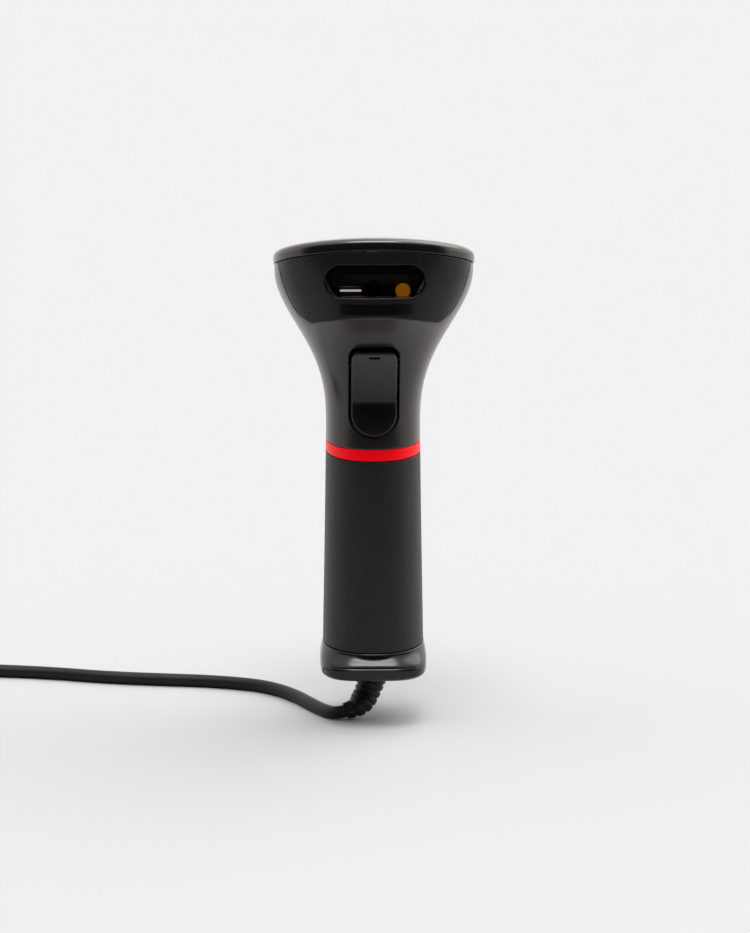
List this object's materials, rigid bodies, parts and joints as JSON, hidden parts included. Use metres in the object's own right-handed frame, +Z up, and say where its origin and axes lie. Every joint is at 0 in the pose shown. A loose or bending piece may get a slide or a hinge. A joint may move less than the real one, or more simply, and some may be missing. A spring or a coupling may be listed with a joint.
{
  "type": "handheld barcode scanner",
  "caption": "Gun-type corded barcode scanner: flared head with reading window, sprung trigger, red ring, rubber grip, ribbed strain relief and coiled USB lead.",
  "frame": {"origin": "middle of the hand's hold on the grip's axis, 46 mm above the underside of the base", "axes": "+Z up along the grip, -Y the way the reading window faces, +X to the right as seen from the window's side"},
  "size_m": [0.2749, 0.117, 0.1867],
  "materials": {
    "housing_plastic": "satin black ABS with a fine moulded texture",
    "cover_plastic": "semi-gloss black",
    "face_plastic": "semi-gloss black with a cool tint",
    "trigger_plastic": "gloss black",
    "base_plastic": "gloss black",
    "grip_rubber": "matte, with small raised dots in slanting rows",
    "ring_plastic": "smooth saturated red",
    "window_acrylic": "clear dark acrylic",
    "gasket_foam": "matte black foam",
    "lens_glass": "coated glass",
    "lamp_amber": "amber lens",
    "bright_metal": "bright nickel",
    "steel": "plain zinc-plated steel",
    "inner_plastic": "plain dark moulding",
    "circuit_board": "green solder mask",
    "component_black": "moulded electronic parts",
    "ribbon": "flat flexible cable",
    "clear_plastic": "clear moulding",
    "cord_pvc": "matte black PVC",
    "strap": "woven hook-and-loop strap",
    "plug_plastic": "white moulding"
  },
  "bodies": {
    "scanner": {"front_housing": "housing_plastic", "rear_housing": "housing_plastic", "top_cover": "cover_plastic", "face_bezel": "face_plastic", "scan_window": "window_acrylic", "window_gasket": "gasket_foam", "housing_screw_left": "steel", "housing_screw_right": "steel", "handle_core": "inner_plastic", "grip_sleeve": "grip_rubber", "accent_ring": "ring_plastic", "base_cap": "base_plastic", "base_screw": "steel", "trigger_pin": "steel", "trigger_spring": "steel", "trigger_switch": "component_black", "switch_board": "circuit_board", "scan_engine": "component_black", "engine_bracket": "steel", "camera_barrel": "component_black", "camera_lens": "lens_glass", "aimer_plate": "bright_metal", "lamp_lens": "lamp_amber", "engine_screw_left": "steel", "engine_screw_right": "steel", "main_board": "circuit_board", "cable_socket": "component_black", "cable_jack": "clear_plastic", "beeper": "component_black", "decoder_chip": "component_black", "memory_chip": "component_black", "head_board": "circuit_board", "status_led": "clear_plastic", "status_light_pipe": "clear_plastic", "engine_ribbon": "ribbon", "board_harness": "ribbon", "strain_relief": "cord_pvc", "cable_run": "cord_pvc", "cable_coil": "cord_pvc", "cable_tail": "cord_pvc", "cable_tie": "strap", "usb_overmould": "cord_pvc", "usb_shell": "bright_metal", "usb_insulator": "plug_plastic"},
    "trigger_lever": {"trigger": "trigger_plastic"},
    "plunger": {"switch_plunger": "plug_plastic"}
  },
  "joints": [
    {"name": "trigger_press", "type": "hinge", "parent": "scanner", "child": "trigger_lever", "pos_m": [0, -0.0215, 0.0725], "axis": [1, 0, 0], "range_deg": [0, 3.5], "stiffness_Nm_per_rad": 0.3, "springref_deg": -3.44, "deforming": ["trigger_spring"]},
    {"name": "plunger_travel", "type": "slide", "parent": "scanner", "child": "plunger", "axis": [0, 1, 0], "range_m": [0, 0.0012]}
  ],
  "couplings": [
    {"joint": "plunger_travel", "follows": "trigger_press", "m_per_rad": 0.0185}
  ]
}
